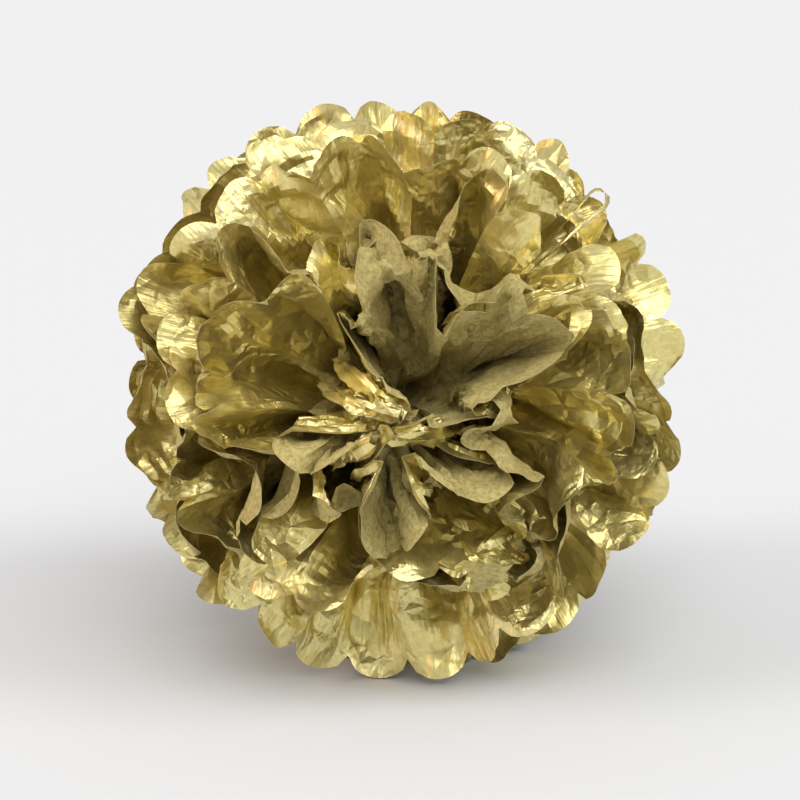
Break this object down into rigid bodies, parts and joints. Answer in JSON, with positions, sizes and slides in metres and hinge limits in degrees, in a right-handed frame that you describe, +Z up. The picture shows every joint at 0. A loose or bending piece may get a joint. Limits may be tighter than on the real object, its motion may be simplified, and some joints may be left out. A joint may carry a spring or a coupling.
{
  "type": "tissue paper pom pom",
  "caption": "Ruffled ball of accordion-folded metallic gold tissue paper sheets with scalloped petals, wired at the middle, with a hanging ribbon loop.",
  "frame": {"origin": "on the table, under the middle of the ball", "axes": "+Z up, -Y towards the front pole of the ball, the side with the open heart, +X to the right seen from the front"},
  "size_m": [0.25, 0.2544, 0.2401],
  "materials": {
    "gold_tissue": "thin tissue paper, satin metallic gold on the side that faces out, matt olive brown on the other",
    "wire_steel": "bright thin wire",
    "gold_ribbon": "bright metallised film ribbon"
  },
  "bodies": {
    "root": {"front_sheet_1": "gold_tissue", "front_sheet_2": "gold_tissue", "front_sheet_3": "gold_tissue", "front_sheet_4": "gold_tissue", "front_sheet_5": "gold_tissue", "front_sheet_6": "gold_tissue", "back_sheet_1": "gold_tissue", "back_sheet_2": "gold_tissue", "back_sheet_3": "gold_tissue", "back_sheet_4": "gold_tissue", "back_sheet_5": "gold_tissue", "back_sheet_6": "gold_tissue", "wire_tie": "wire_steel", "ribbon_loop": "gold_ribbon", "ribbon_knot": "gold_ribbon"}
  },
  "joints": []
}
